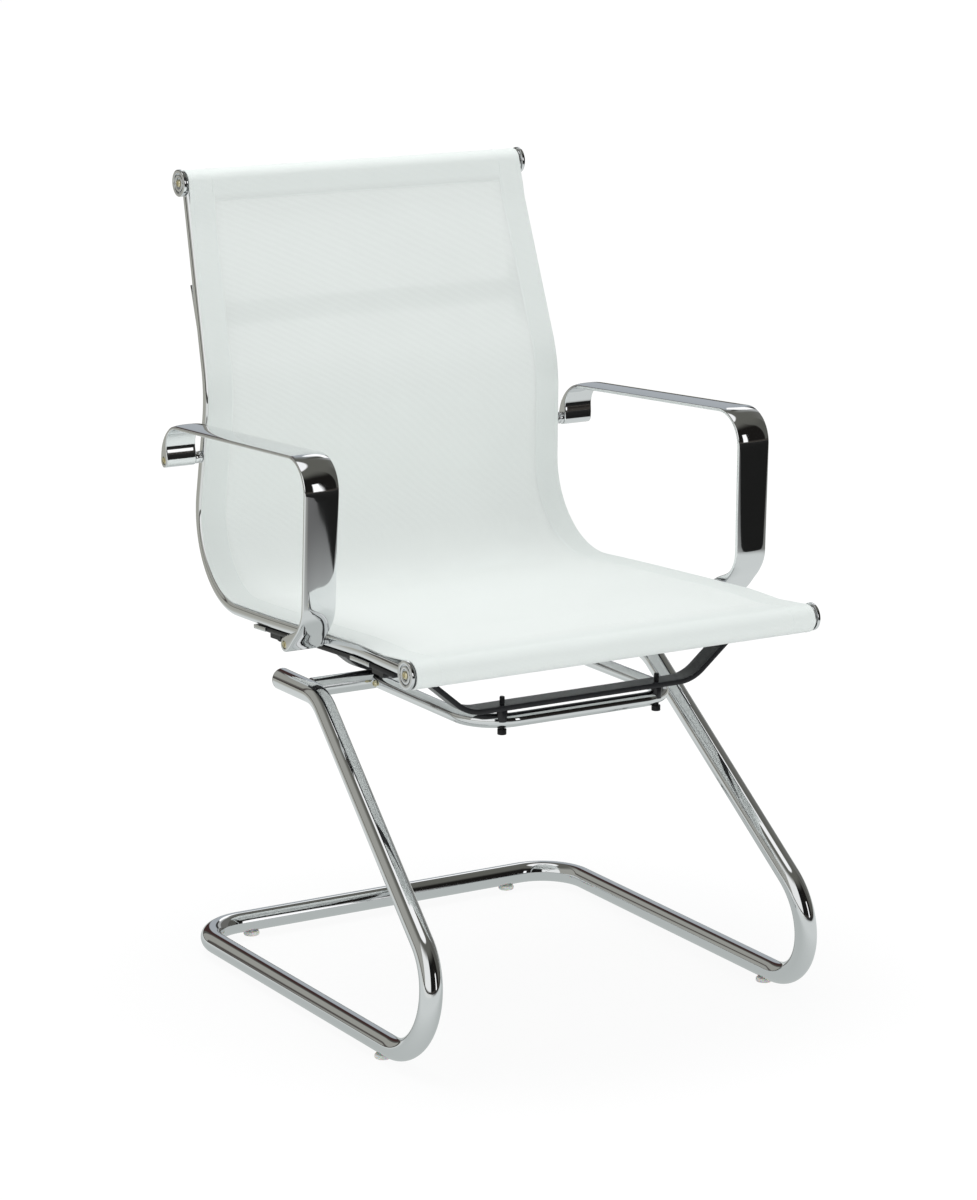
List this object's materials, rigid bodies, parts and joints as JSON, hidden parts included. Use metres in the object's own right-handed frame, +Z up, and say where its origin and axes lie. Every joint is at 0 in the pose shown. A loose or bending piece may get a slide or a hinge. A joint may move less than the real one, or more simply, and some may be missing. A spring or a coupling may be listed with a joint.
{
  "type": "sled base visitor chair",
  "caption": "Visitor chair with a stretched net sling on bent metal side rails, flat-bar loop arms and a cantilevered tubular sled base.",
  "frame": {"origin": "on the floor, under the middle of the chair's box", "axes": "+Z up, the sitter faces -Y, and +X is the sitter's left"},
  "size_m": [0.5972, 0.6244, 0.9045],
  "materials": {
    "chrome": "polished chrome plate on steel",
    "zinc": "zinc plated steel",
    "black_steel": "satin black powder coat",
    "black_bolt": "black oxide steel",
    "black_plastic": "matte black plastic",
    "net": "fine white woven net",
    "nylon": "pale translucent nylon"
  },
  "bodies": {
    "root": {"arm_left": "chrome", "arm_right": "chrome", "arm_screw_lower_left": "zinc", "arm_screw_lower_right": "zinc", "arm_screw_rear_left": "zinc", "arm_screw_rear_right": "zinc", "arm_spacer_lower_left": "chrome", "arm_spacer_lower_right": "chrome", "arm_spacer_rear_left": "chrome", "arm_spacer_rear_right": "chrome", "back_brace": "chrome", "brace_screw_lower_left": "zinc", "brace_screw_lower_right": "zinc", "brace_screw_upper_left": "zinc", "brace_screw_upper_right": "zinc", "front_bar_bolt_left": "black_bolt", "front_bar_bolt_right": "black_bolt", "front_bar_spacer_left": "zinc", "front_bar_spacer_right": "zinc", "front_cap_left": "chrome", "front_cap_right": "chrome", "front_cap_screw_left": "zinc", "front_cap_screw_right": "zinc", "front_cross_bar": "black_steel", "front_flange_screw_left": "black_bolt", "front_flange_screw_right": "black_bolt", "front_tube": "chrome", "glide_front_left": "nylon", "glide_front_right": "nylon", "glide_rear_left": "nylon", "glide_rear_right": "nylon", "loop_screw_left": "zinc", "loop_screw_right": "zinc", "net_sling": "net", "rail_clip_front_left": "zinc", "rail_clip_front_right": "zinc", "rail_clip_rear_left": "zinc", "rail_clip_rear_right": "zinc", "rear_bar_bolt_left": "black_bolt", "rear_bar_bolt_right": "black_bolt", "rear_cross_bar": "black_steel", "rear_flange_screw_left": "black_bolt", "rear_flange_screw_right": "black_bolt", "side_plate_left": "black_steel", "side_plate_right": "black_steel", "side_rail_left": "chrome", "side_rail_right": "chrome", "sled_frame": "chrome", "stub_plug_left": "black_plastic", "stub_plug_right": "black_plastic", "support_loop": "chrome", "top_cap_left": "chrome", "top_cap_right": "chrome", "top_cap_screw_left": "zinc", "top_cap_screw_right": "zinc", "top_tube": "chrome", "upper_cross_tube": "chrome"}
  },
  "joints": []
}
